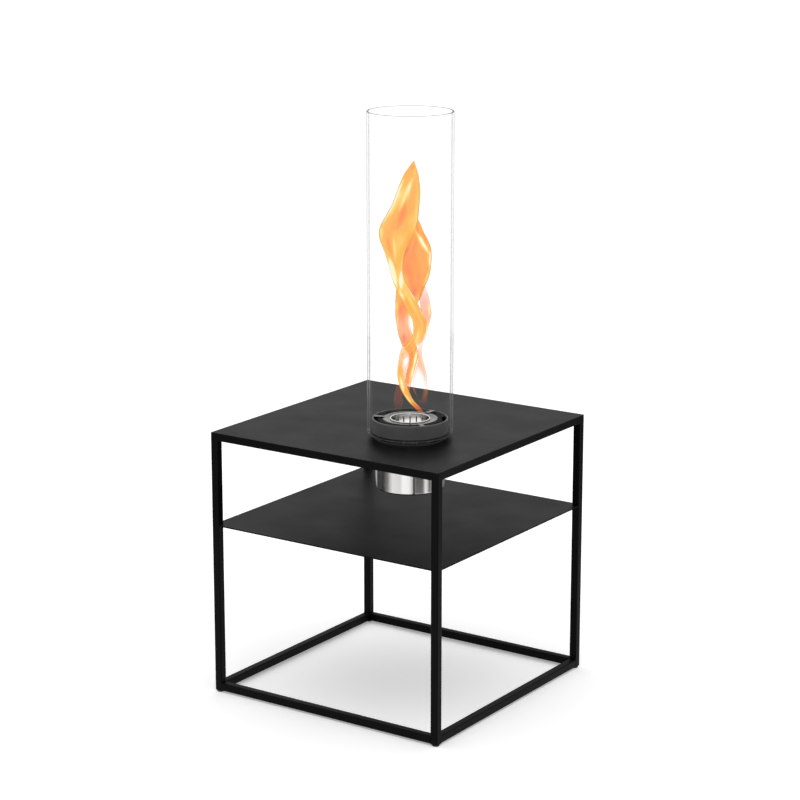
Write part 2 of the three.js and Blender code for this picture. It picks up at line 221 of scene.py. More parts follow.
sleeve_low, sleeve_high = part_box("burner_sleeve")
burner = Matrix.Translation(
    ((sleeve_low.x + sleeve_high.x) / 2, (sleeve_low.y + sleeve_high.y) / 2, 0)
) @ Matrix.Rotation(burner_facing, 4, "Z")


def turned(corners, steps=turn_steps):
    """A piece turned about the burner's axis. Each corner has its radius, height and round."""
    shape = bmesh.new()
    points = [shape.verts.new((radius, 0, height)) for radius, height, _ in corners]
    section = shape.faces.new(points)
    for size in sorted({size for *_, size in corners if size}):
        rounded = [p for p, (*_, own) in zip(points, corners) if own == size]
        bmesh.ops.bevel(
            shape, geom=rounded, offset=size, affect="VERTICES", segments=4, profile=0.5,
            material=-1,
        )
    bmesh.ops.delete(shape, geom=shape.faces[:], context="FACES_ONLY")
    on_axis = [e for e in shape.edges if max(v.co.x for v in e.verts) < axis_width]
    bmesh.ops.delete(shape, geom=on_axis, context="EDGES")
    bmesh.ops.spin(
        shape, geom=shape.verts[:] + shape.edges[:], cent=(0, 0, 0), axis=(0, 0, 1), angle=tau,
        steps=steps, use_merge=True,
    )
    bmesh.ops.remove_doubles(shape, verts=shape.verts, dist=axis_width)
    bmesh.ops.recalc_face_normals(shape, faces=shape.faces)
    layer = shape.loops.layers.uv.new(turn_map)
    for face in shape.faces:
        for loop in face.loops:
            x, y, z = loop.vert.co
            loop[layer].uv = (hypot(x, y) + z, atan2(y, x) / tau)
    bmesh.ops.transform(shape, matrix=burner, verts=shape.verts)
    return shape


def brushed_steel(name, colour, roughness, anisotropy):
    """Stainless steel brushed round the burner's axis."""
    made, tree = new_material(name)
    along = add_node(tree, "ShaderNodeUVMap", {}, uv_map=turn_map)
    section = add_node(tree, "ShaderNodeSeparateXYZ", {"Vector": along.outputs["UV"]})
    lines = add_node(
        tree, "ShaderNodeTexNoise",
        {"W": section.outputs["X"], "Scale": 1 / brush_line, "Detail": 4.0, "Roughness": 0.7},
        noise_dimensions="1D",
    )
    gloss = add_node(
        tree, "ShaderNodeMapRange",
        {
            "Value": lines.outputs["Fac"], "From Min": noise_low, "From Max": noise_high,
            "To Min": roughness * (1 - brush_spread), "To Max": roughness * (1 + brush_spread),
        },
    )
    bump = add_node(
        tree, "ShaderNodeBump",
        {"Height": lines.outputs["Fac"], "Strength": 0.05, "Distance": 0.02 * mm},
    )
    grain = add_node(tree, "ShaderNodeTangent", {}, direction_type="UV_MAP", uv_map=turn_map)
    surface = add_node(
        tree, "ShaderNodeBsdfPrincipled",
        {
            "Base Color": linear(colour),
            "Metallic": 1.0,
            "Roughness": gloss.outputs["Result"],
            "Anisotropic": anisotropy,
            "Tangent": grain.outputs["Tangent"],
            "Normal": bump.outputs["Normal"],
        },
    )
    add_node(tree, "ShaderNodeOutputMaterial", {"Surface": surface.outputs["BSDF"]})
    return made


sleeve_steel = brushed_steel("stainless_steel_spun_brushed", steel_bright, 0.12, 0.4)
foot, lip = sleeve_low.z, sleeve_high.z
bore = sleeve_radius - sleeve_wall
sleeve = add_piece(
    "sleeve_spinning",
    turned(
        [
            (0, foot, 0),
            (sleeve_radius, foot, sleeve_bend),
            (sleeve_radius, lip - sleeve_wall, 0),
            (lip_radius, lip - sleeve_wall, fine_round),
            (lip_radius, lip, fine_round),
            (bore, lip, full_round),
            (bore, foot + sleeve_wall, sleeve_bend - sleeve_wall),
            (0, foot + sleeve_wall, 0),
        ]
    ),
    sleeve_steel,
)
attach(sleeve, "insert")
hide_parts("burner_sleeve")


# Air collar
# Cast aluminium ring on the sleeve's lip, with a heat-proof black coat. Its neck is cut into posts
# that leave nine air inlets under the swirl ring. Near the burner's axis the castings are painted
# near-black and dull: painted shade for the deep windows, vanes and inner walls.
neck_radius = 53.9 * mm
rim_step = 0.6 * mm
rim_height = 1.6 * mm
inlet_width = 24 * mm
cutter_depth = 6 * mm  # radial depth of a cut through a thin wall
blade_count = 9  # vanes in the swirl ring, and the inlets below them
cast_black = "#5a5a5b"
# Painted shade: within a radius of the axis, the ring's windows, vanes and inner walls and the collar's
# inner face take this near-black colour and a dull roughness.
cast_painted_shade = "#0e0e0f"
painted_shade_roughness = 0.95  # roughness inside the painted shade
painted_shade_radius = 53 * mm  # the painted shade reaches this far from the burner's axis
painted_shade_fade = 1 * mm
cast_grain = 0.8 * mm  # drawn twice as coarse as the blasted skin of the real casting

casting, tree = new_material("cast_aluminium_black_heat_coat")
place = add_node(tree, "ShaderNodeTexCoord", {}).outputs["Object"]
skin = add_node(
    tree, "ShaderNodeTexNoise",
    {"Vector": place, "Scale": 1 / cast_grain, "Detail": 3.0, "Roughness": 0.6},
)
gloss = add_node(
    tree, "ShaderNodeMapRange",
    {
        "Value": skin.outputs["Fac"], "From Min": noise_low, "From Max": noise_high,
        "To Min": 0.42, "To Max": 0.52,
    },
)
bump = add_node(
    tree, "ShaderNodeBump", {"Height": skin.outputs["Fac"], "Strength": 0.25, "Distance": 0.04 * mm}
)
from_axis = add_node(
    tree, "ShaderNodeVectorMath", {0: place, 1: burner.translation}, operation="SUBTRACT"
)
sideways = add_node(
    tree, "ShaderNodeVectorMath", {0: from_axis.outputs[0], 1: (1.0, 1.0, 0.0)}, operation="MULTIPLY"
)
reach = add_node(tree, "ShaderNodeVectorMath", {0: sideways.outputs[0]}, operation="LENGTH")
# Painted shade mask: 0 near the burner's axis, rising to 1 outside the shaded windows.
unshaded = add_node(
    tree, "ShaderNodeMapRange",
    {
        "Value": reach.outputs["Value"], "From Min": painted_shade_radius - painted_shade_fade, "From Max": painted_shade_radius,
        "To Min": 0.0, "To Max": 1.0,
    },
)
tint = add_node(
    tree, "ShaderNodeMix",
    {"Factor": unshaded.outputs["Result"], "A": linear(cast_painted_shade), "B": linear(cast_black)},
    data_type="RGBA",
)
shaded_gloss = add_node(
    tree, "ShaderNodeMapRange",
    {"Value": unshaded.outputs["Result"], "To Min": painted_shade_roughness, "To Max": gloss.outputs["Result"]},
)
surface = add_node(
    tree, "ShaderNodeBsdfPrincipled",
    {
        "Base Color": tint.outputs["Result"],
        "Roughness": shaded_gloss.outputs["Result"],
        "Specular IOR Level": 0.3,
        "Normal": bump.outputs["Normal"],
    },
)
add_node(tree, "ShaderNodeOutputMaterial", {"Surface": surface.outputs["BSDF"]})


def combined(shape, other, operation):
    """shape joined with other, or cut by it. Both are used up."""
    work = []
    for part in (shape, other):
        mesh = bpy.data.meshes.new("work")
        part.to_mesh(mesh)
        part.free()
        work.append(bpy.data.objects.new("work", mesh))
        bpy.context.scene.collection.objects.link(work[-1])
    step = work[0].modifiers.new("step", "BOOLEAN")
    step.operation = operation
    step.solver = "EXACT"
    step.object = work[1]
    made = bmesh.new()
    made.from_object(work[0], bpy.context.evaluated_depsgraph_get())
    for piece in work:
        bpy.data.meshes.remove(piece.data)
    return made


def around(count, first, box, place, lean=0.0):
    """So many equal boxes round the burner's axis: their size, and the place of the first one."""
    shape = bmesh.new()
    for i in range(count):
        turn = Matrix.Rotation(first + i * tau / count, 4, "Z")
        stand = Matrix.Translation(place) @ Matrix.Rotation(lean, 4, "X")
        bmesh.ops.create_cube(shape, size=1, matrix=burner @ turn @ stand @ Matrix.Diagonal((*box, 1)))
    return shape


collar_low, collar_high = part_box("air_collar")
foot, head = collar_low.z, collar_high.z
rim_top = foot + rim_height
neck = turned(
    [
        (sleeve_radius, foot, 0),
        (neck_radius + rim_step, foot, fine_round),
        (neck_radius + rim_step, rim_top, fine_round),
        (neck_radius, rim_top, 0),
        (neck_radius, head, 0),
        (sleeve_radius, head, 0),
    ]
)
inlet_height = head - rim_top
inlets = around(
    blade_count, 0, (cutter_depth, inlet_width, 2 * inlet_height),
    ((sleeve_radius + neck_radius) / 2, 0, rim_top + inlet_height),
)
collar = add_piece("collar_casting", combined(neck, inlets, "DIFFERENCE"), casting)
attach(collar, "insert")
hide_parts("air_collar")


# Swirl ring
# Cast with the collar's black coat: an outer and an inner wall joined by nine slanted vanes that
# set the rising air spinning, and a ledge outside that carries the glass.
ring_radius = 55.5 * mm
ring_wall = 2.1 * mm
ring_ease = 1.2 * mm
flange = 1.5 * mm
flange_lap = 3 * mm
ledge_radius = 61.5 * mm
window_width = 6.9 * mm
inner_wall = 3.5 * mm
inner_drop = 1.8 * mm
inner_ledge = 1.5 * mm  # thickness of the ledge that the funnel plate lies on
vane_thickness = 1.5 * mm
vane_lean = radians(35)
vane_rise = 2 * mm
vane_lap = 0.4 * mm  # depth that the vanes run into the inner wall
funnel_sheet = 0.8 * mm
funnel_inset = 6.5 * mm
funnel_border = 2.2 * mm

ring_low, ring_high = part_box("swirl_ring")
ring_foot, ring_top = ring_low.z, ring_high.z
window_outer = ring_radius - ring_wall
window_inner = window_outer - window_width
ring_bore = window_inner - inner_wall
funnel_edge = window_inner - funnel_inset
dish = funnel_edge - funnel_border
inner_top = ring_top - inner_drop
vane_top = inner_top + funnel_sheet
vane_foot = ring_foot + flange + vane_rise
vane_pitch = tau / blade_count

outer_wall = turned(
    [
        (window_outer - flange_lap, ring_foot, fine_round),
        (ledge_radius, ring_foot, full_round),
        (ledge_radius, ring_foot + flange, full_round),
        (ring_radius, ring_foot + flange, 0),
        (ring_radius, ring_top, ring_ease),
        (window_outer, ring_top, fine_round),
        (window_outer, ring_foot + flange, 0),
        (window_outer - flange_lap, ring_foot + flange, fine_round),
    ]
)
inner_ring = turned(
    [
        (ring_bore, ring_foot + flange, fine_round),
        (window_inner, ring_foot + flange, fine_round),
        (window_inner, inner_top, fine_round),
        (dish, inner_top, fine_round),
        (dish, inner_top - inner_ledge, fine_round),
        (ring_bore, inner_top - inner_ledge, 0),
    ]
)
channel = turned(
    [
        (window_inner - ring_wall / 2, vane_foot, 0),
        (window_outer + ring_wall / 2, vane_foot, 0),
        (window_outer + ring_wall / 2, vane_top, 0),
        (window_inner, vane_top, 0),
        (window_inner, inner_top - vane_lap, 0),
        (window_inner - ring_wall / 2, inner_top - vane_lap, 0),
    ]
)
vanes = around(
    blade_count, vane_pitch / 2,
    (window_width + 2 * ring_wall, vane_thickness, 2 * (vane_top - vane_foot)),
    ((window_inner + window_outer) / 2, 0, vane_top), vane_lean,
)
walls = combined(outer_wall, combined(vanes, channel, "INTERSECT"), "UNION")
ring = add_piece("swirl_ring_casting", combined(walls, inner_ring, "UNION"), casting)
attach(ring, "head")
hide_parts("swirl_ring")


# Glass seal
# Flat ring of soft black silicone, stamped from sheet and laid loose between the ledge and the foot
# of the glass. It shows as a thin, dull line.
seal_gap = 0.3 * mm
cut_round = 0.2 * mm  # left on stamped edges
silicone_black = "#101011"
silicone_dust = 2 * mm

silicone, tree = new_material("silicone_rubber_black_sheet")
place = add_node(tree, "ShaderNodeTexCoord", {}).outputs["Object"]
dust = add_node(tree, "ShaderNodeTexNoise", {"Vector": place, "Scale": 1 / silicone_dust, "Detail": 4.0})
gloss = add_node(
    tree, "ShaderNodeMapRange", {"Value": dust.outputs["Fac"], "To Min": 0.55, "To Max": 0.75}
)
surface = add_node(
    tree, "ShaderNodeBsdfPrincipled",
    {
        "Base Color": linear(silicone_black),
        "Roughness": gloss.outputs["Result"],
        "IOR": 1.41,
        "Specular IOR Level": 0.35,
    },
)
add_node(tree, "ShaderNodeOutputMaterial", {"Surface": surface.outputs["BSDF"]})

seal_low, seal_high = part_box("glass_seal")
seal = add_piece(
    "seal_ring",
    turned(
        [
            (ring_radius + seal_gap, seal_low.z, 0),
            (ledge_radius, seal_low.z, 0),
            (ledge_radius, seal_high.z, cut_round),
            (ring_radius + seal_gap, seal_high.z, cut_round),
        ]
    ),
    silicone,
)
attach(seal, "head")
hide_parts("glass_seal")


# Funnel plate and clips
# The plate is pressed from stainless sheet, brushed in the lathe and slit at the front. It falls a
# little towards the cup. Three small stainless straps on the vane heads hold it down.
funnel_dip = 1.2 * mm
funnel_bend = 0.8 * mm
cup_radius = 28.5 * mm
fit_gap = 0.3 * mm
clip_sheet = 1 * mm
clip_width = 7 * mm
clip_hold = 2 * mm  # how far a clip reaches over the plate
clip_corner = 1.4 * mm
clip_every = 3  # a clip on every third vane
clip_rim_turn = radians(60)  # the rims of a clip turn more than this
slot_width = 1.8 * mm
plate_grey_shaded = "#575654"  # painted darker than the steel: painted shade for the dim reflections down in the burner

plate_steel = brushed_steel("stainless_steel_pressed_brushed", plate_grey_shaded, 0.2, 0.6)
hole = cup_radius + fit_gap
funnel_top = inner_top + funnel_sheet
pressing = turned(
    [
        (hole, inner_top - funnel_dip, 0),
        (dish, inner_top, funnel_bend),
        (funnel_edge, inner_top, cut_round),
        (funnel_edge, funnel_top, fine_round),
        (dish, funnel_top, funnel_bend),
        (hole, funnel_top - funnel_dip, cut_round),
    ]
)
slit = around(
    1, 0, (2 * (funnel_edge - hole), slot_width, 4 * funnel_dip),
    ((hole + funnel_edge) / 2, 0, inner_top),
)
funnel = add_piece("funnel_pressing", combined(pressing, slit, "DIFFERENCE"), plate_steel)
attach(funnel, "head")
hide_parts("funnel_plate")

clip_inner = funnel_edge - clip_hold
clip_outer = window_outer - fit_gap
for i in range(0, blade_count, clip_every):
    strap = bmesh.new()
    bmesh.ops.create_cube(
        strap, size=1,
        matrix=Matrix.Translation(((clip_inner + clip_outer) / 2, 0, funnel_top + clip_sheet / 2))
        @ Matrix.Diagonal((clip_outer - clip_inner, clip_width, clip_sheet, 1)),
    )
    upright = [e for e in strap.edges if abs(e.verts[0].co.z - e.verts[1].co.z) > clip_sheet / 2]
    bmesh.ops.bevel(
        strap, geom=upright, offset=clip_corner, affect="EDGES", segments=5, profile=0.5,
        material=-1,
    )
    rims = [e for e in strap.edges if e.calc_face_angle() > clip_rim_turn]
    bmesh.ops.bevel(
        strap, geom=rims, offset=edge_round, affect="EDGES", segments=2, profile=0.5, material=-1,
    )
    layer = strap.loops.layers.uv.new(turn_map)
    for face in strap.faces:
        for loop in face.loops:
            loop[layer].uv = (loop.vert.co.x + loop.vert.co.z, loop.vert.co.y / clip_width)
    turn = Matrix.Rotation((i + 0.5) * vane_pitch, 4, "Z")
    bmesh.ops.transform(strap, matrix=burner @ turn, verts=strap.verts)
    node = f"funnel_clip_{i // clip_every + 1}"
    clip = add_piece(f"{node}_strap", strap, plate_steel)
    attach(clip, "head")
    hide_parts(node)


# Burner cup
# Stainless strip rolled to a cup, with eighteen upright slots punched in its wall and a hemmed lip
# that hangs it in the funnel plate. The strip's ends leave a narrow seam in the lip, at the front.
cup_wall = 0.8 * mm
cup_lip = 0.9 * mm
cup_hem = 0.7 * mm
seam_cut = 6 * mm  # height of the cut that leaves the seam, well over the lip's own
slot_count = 18
slot_top = 3.4 * mm
slot_height = 15.5 * mm
cup_taper = 2 * mm  # the wall narrows by this much towards its foot, so that it throws light back up
cup_bright = "#dddcda"

cup_steel = brushed_steel("stainless_steel_rolled_strip", cup_bright, 0.2, 0.0)
cup_low, cup_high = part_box("burner_cup")
lip_foot = funnel_top - funnel_dip + fit_gap
cup_bore = cup_radius - cup_wall
cup_middle = cup_radius - cup_wall / 2
rolled = turned(
    [
        (cup_bore - cup_taper, cup_low.z, cut_round),
        (cup_radius - cup_taper, cup_low.z, cut_round),
        (cup_radius, lip_foot, 0),
        (cup_radius + cup_lip, lip_foot, fine_round),
        (cup_radius + cup_lip, cup_high.z, cup_hem),
        (cup_bore, cup_high.z, cup_hem),
        (cup_bore, lip_foot, full_round),
    ]
)
slots = around(
    slot_count, 0, (cutter_depth, slot_width, slot_height),
    (cup_middle, 0, lip_foot - slot_top - slot_height / 2),
)
seam = around(
    1, 0, (cutter_depth, slot_width, seam_cut), (cup_middle, 0, lip_foot + seam_cut / 2)
)
slotted = combined(rolled, slots, "DIFFERENCE")
cup = add_piece("cup_rolled", combined(slotted, seam, "DIFFERENCE"), cup_steel)
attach(cup, "head")
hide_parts("burner_cup")


# Fuel can
# Half-litre tinplate can with rolled seams at both ends, three beads round its side and a mouth
# with a turned-up edge. It stands loose in the sleeve under the burner head, and the spangle of
# its tin makes its shine slightly patchy.
can_wall = 0.6 * mm
seam_radius = 48 * mm
can_radius = 46.5 * mm
seam_height = 3 * mm
panel_sink = 1.6 * mm
mouth_radius = cup_bore - cup_taper
curl_height = 1.2 * mm
bead_count = 3
bead_pitch = 9 * mm
bead_depth = 0.5 * mm
# Painted shade: the tin is drawn darker than bright tinplate, for its place down in the shaded sleeve.
tin_grey_shaded = "#8d8f92"
tin_crystal = 6 * mm  # spangle of the tinned sheet
can_steps = 96

tinplate, tree = new_material("tinplate_rolled_bright")
place = add_node(tree, "ShaderNodeTexCoord", {}).outputs["Object"]
spangle = add_node(tree, "ShaderNodeTexVoronoi", {"Vector": place, "Scale": 1 / tin_crystal})
grey = add_node(tree, "ShaderNodeSeparateColor", {"Color": spangle.outputs["Color"]})
gloss = add_node(
    tree, "ShaderNodeMapRange", {"Value": grey.outputs["Red"], "To Min": 0.24, "To Max": 0.38}
)
surface = add_node(
    tree, "ShaderNodeBsdfPrincipled",
    {"Base Color": linear(tin_grey_shaded), "Metallic": 1.0, "Roughness": gloss.outputs["Result"]},
)
add_node(tree, "ShaderNodeOutputMaterial", {"Surface": surface.outputs["BSDF"]})

can_low, can_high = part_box("fuel_can")
foot, head = can_low.z, can_high.z
panel = head - panel_sink
middle = (foot + head) / 2
beads = []
for i in range(bead_count):
    centre = middle + (i - (bead_count - 1) / 2) * bead_pitch
    beads += [
        (can_radius, centre - 2 * bead_depth, cut_round),
        (can_radius - bead_depth, centre, full_round),
        (can_radius, centre + 2 * bead_depth, cut_round),
    ]
can_bore = can_radius - can_wall
can = add_piece(
    "can_tinned",
    turned(
        [
            (0, foot + panel_sink - can_wall, 0),
            (can_bore, foot + panel_sink - can_wall, fine_round),
            (can_bore, foot, fine_round),
            (seam_radius, foot, full_round),
            (seam_radius, foot + seam_height, full_round),
            (can_radius, foot + seam_height, fine_round),
            *beads,
            (can_radius, head - seam_height, fine_round),
            (seam_radius, head - seam_height, full_round),
            (seam_radius, head, full_round),
            (can_bore, head, fine_round),
            (can_bore, panel, fine_round),
            (mouth_radius + can_wall, panel, fine_round),
            (mouth_radius + can_wall, panel + curl_height, cut_round),
            (mouth_radius, panel + curl_height, cut_round),
            (mouth_radius, panel - can_wall, 0),
            (can_bore - bead_depth, panel - can_wall, 0),
            (can_bore - bead_depth, foot + panel_sink, 0),
            (0, foot + panel_sink, 0),
        ],
        can_steps,
    ),
    tinplate,
)
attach(can, "can")
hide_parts("fuel_can")


# Absorbent wool
# Disc of off-white ceramic fibre pressed into the can, which soaks up the fuel so that none can
# spill. Its cut face is felted and uneven.
wool_radius = 45.3 * mm
wool_round = 1.5 * mm
wool_foot_round = 1 * mm
wool_lump = 9 * mm
wool_lift = 0.5 * mm
wool_steps = 72
wool_rings = (0.75, 0.5, 0.25, 0)  # shares of the radius where the top face has points to lift
fibre = 0.6 * mm  # a tuft, because single fibres are too fine to show
wool_pale = "#e6e2d8"
wool_shade = "#cfc9bb"

wool_felt, tree = new_material("ceramic_wool_felted")
place = add_node(tree, "ShaderNodeTexCoord", {}).outputs["Object"]
strands = add_node(
    tree, "ShaderNodeTexNoise",
    {"Vector": place, "Scale": 1 / fibre, "Detail": 6.0, "Roughness": 0.75, "Distortion": 2.0},
)
tint = add_node(
    tree, "ShaderNodeMix",
    {"Factor": strands.outputs["Fac"], "A": linear(wool_shade), "B": linear(wool_pale)},
    data_type="RGBA",
)
bump = add_node(
    tree, "ShaderNodeBump", {"Height": strands.outputs["Fac"], "Strength": 0.8, "Distance": 0.3 * mm}
)
surface = add_node(
    tree, "ShaderNodeBsdfPrincipled",
    {
        "Base Color": tint.outputs["Result"],
        "Roughness": 0.95,
        "Sheen Weight": 0.3,
        "Normal": bump.outputs["Normal"],
    },
)
add_node(tree, "ShaderNodeOutputMaterial", {"Surface": surface.outputs["BSDF"]})

wool_low, wool_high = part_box("absorbent_wool")
felt = turned(
    [
        (0, wool_low.z, 0),
        (wool_radius, wool_low.z, wool_foot_round),
        (wool_radius, wool_high.z - wool_lift, wool_round),
        *[(wool_radius * share, wool_high.z - wool_lift, 0) for share in wool_rings],
    ],
    wool_steps,
)
for vert in felt.verts:
    if vert.co.z > wool_high.z - 2 * wool_lift:
        vert.co.z += wool_lift * noise.noise(vert.co / wool_lump)
wool = add_piece("wool_felt", felt, wool_felt, smooth=60)
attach(wool, "can")
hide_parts("absorbent_wool")


# Glass cylinder
# Drawn borosilicate tube with fire-polished ends, standing free on its seal. Its wall is thin and
# true, so that things behind it stay in place, and it shows only where it turns edge on: there it
# mirrors the room, glows with the light that it gathers, and dims what is behind it.
glass_radius = 62.5 * mm
glass_wall = 3 * mm
glass_ease = 1.2 * mm
glass_shine = "#f4f7f6"
glass_wave = 90 * mm  # slow ripple left by drawing
edge_power = 8.0  # how fast the wall clears from its edges inwards
edge_share = 0.9  # how much of it mirrors or glows at the very edge
edge_glow = 0.5  # how much of that glows
glass_glow = "#e6eae9"
edge_tint = "#969a99"  # what comes through at the very edge
rim_tint = "#151716"  # what comes through the top rim, where the view goes down into the wall
rim_from_above = 0.4  # share of that tint which is left when the rim is seen from straight above
glass_steps = 192

glass_low, glass_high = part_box("glass_cylinder")
clear_glass, tree = new_material("borosilicate_glass_drawn")
place = add_node(tree, "ShaderNodeTexCoord", {}).outputs["Object"]
ripple = add_node(tree, "ShaderNodeTexNoise", {"Vector": place, "Scale": 1 / glass_wave, "Detail": 0.0})
bump = add_node(
    tree, "ShaderNodeBump", {"Height": ripple.outputs["Fac"], "Strength": 0.05, "Distance": 0.2 * mm}
)
turned_away = add_node(
    tree, "ShaderNodeLayerWeight", {"Blend": 0.5, "Normal": bump.outputs["Normal"]}
).outputs["Facing"]
at_edge = add_node(tree, "ShaderNodeMath", {0: turned_away, 1: edge_power}, operation="POWER")
covered = add_node(tree, "ShaderNodeMath", {0: at_edge.outputs[0], 1: edge_share}, operation="MULTIPLY")
normal = add_node(tree, "ShaderNodeNewGeometry", {}).outputs["Normal"]
slope = add_node(tree, "ShaderNodeSeparateXYZ", {"Vector": normal}).outputs["Z"]
level = add_node(tree, "ShaderNodeMath", {0: slope}, operation="ABSOLUTE")
height = add_node(tree, "ShaderNodeSeparateXYZ", {"Vector": place}).outputs["Z"]
upper = add_node(
    tree, "ShaderNodeMath", {0: height, 1: (glass_low.z + glass_high.z) / 2}, operation="GREATER_THAN"
)
rim = add_node(tree, "ShaderNodeMath", {0: level.outputs[0], 1: upper.outputs[0]}, operation="MULTIPLY")
inward = add_node(
    tree, "ShaderNodeMapRange", {"Value": turned_away, "To Min": rim_from_above, "To Max": 1.0}
)
at_rim = add_node(
    tree, "ShaderNodeMath", {0: rim.outputs[0], 1: inward.outputs["Result"]}, operation="MULTIPLY"
)
through_wall = add_node(
    tree, "ShaderNodeMix",
    {"Factor": at_edge.outputs[0], "A": linear("#ffffff"), "B": linear(edge_tint)},
    data_type="RGBA",
)
through = add_node(
    tree, "ShaderNodeMix",
    {"Factor": at_rim.outputs[0], "A": through_wall.outputs["Result"], "B": linear(rim_tint)},
    data_type="RGBA",
)
clear = add_node(tree, "ShaderNodeBsdfTransparent", {"Color": through.outputs["Result"]})
mirror = add_node(
    tree, "ShaderNodeBsdfAnisotropic",
    {"Color": linear(glass_shine), "Roughness": 0.0, "Normal": bump.outputs["Normal"]},
)
gathered = add_node(tree, "ShaderNodeBsdfDiffuse", {"Color": linear(glass_glow)})
edge_light = add_node(
    tree, "ShaderNodeMixShader", {0: edge_glow, 1: mirror.outputs[0], 2: gathered.outputs[0]}
)
surface = add_node(
    tree, "ShaderNodeMixShader", {0: covered.outputs[0], 1: clear.outputs[0], 2: edge_light.outputs[0]}
)
add_node(tree, "ShaderNodeOutputMaterial", {"Surface": surface.outputs[0]})

glass_bore = glass_radius - glass_wall
glass = add_piece(
    "glass_tube",
    turned(
        [
            (glass_bore, glass_low.z, glass_ease),
            (glass_radius, glass_low.z, glass_ease),
            (glass_radius, glass_high.z, glass_ease),
            (glass_bore, glass_high.z, glass_ease),
        ],
        glass_steps,
    ),
    clear_glass,
    smooth=80,
)
glass.visible_shadow = False
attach(glass, "glass")
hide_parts("glass_cylinder")


# Flame
# Ethanol burns here as thin sheets of fire that the swirling air twists about each other. Sheets
# that are seen edge on look pale yellow, and those seen flat look orange and let light through.
camera_azimuth = radians(34.31)
flame_across = 40  # faces across a sheet
flame_along = 160
fade_share = 0.07  # share of a sheet's half width over which it fades out
cool_share = 0.14  # share over which the gas cools to the dimmer colour of its rim
cool_rim = "#c98d55"
cool_cover = 0.8  # how much of that colour the rim takes
hot_edge = 0.22  # heat that is added just inside the rim
hot_edge_power = 6.0
lick_heat = 0.16  # heat that the fine licks add or take
lick_count = (2.2, 6.0, 1.0)  # fine licks across and along a sheet
cold_dense = 0.92  # how dense the coldest fire is beside the hottest
streak_tip = 0.35  # width of a streak's ends beside its middle
map_pitch = 3.0  # distance between the sheets on their UV map
transparent_depth = 32
flame_colours = [
    (0.0, "#f96f52"), (0.16, "#fe8a44"), (0.32, "#fe9a48"), (0.46, "#feac54"), (0.6, "#fdbd5c"),
    (0.8, "#ffdb82"), (1.0, "#fff7d2"),
]

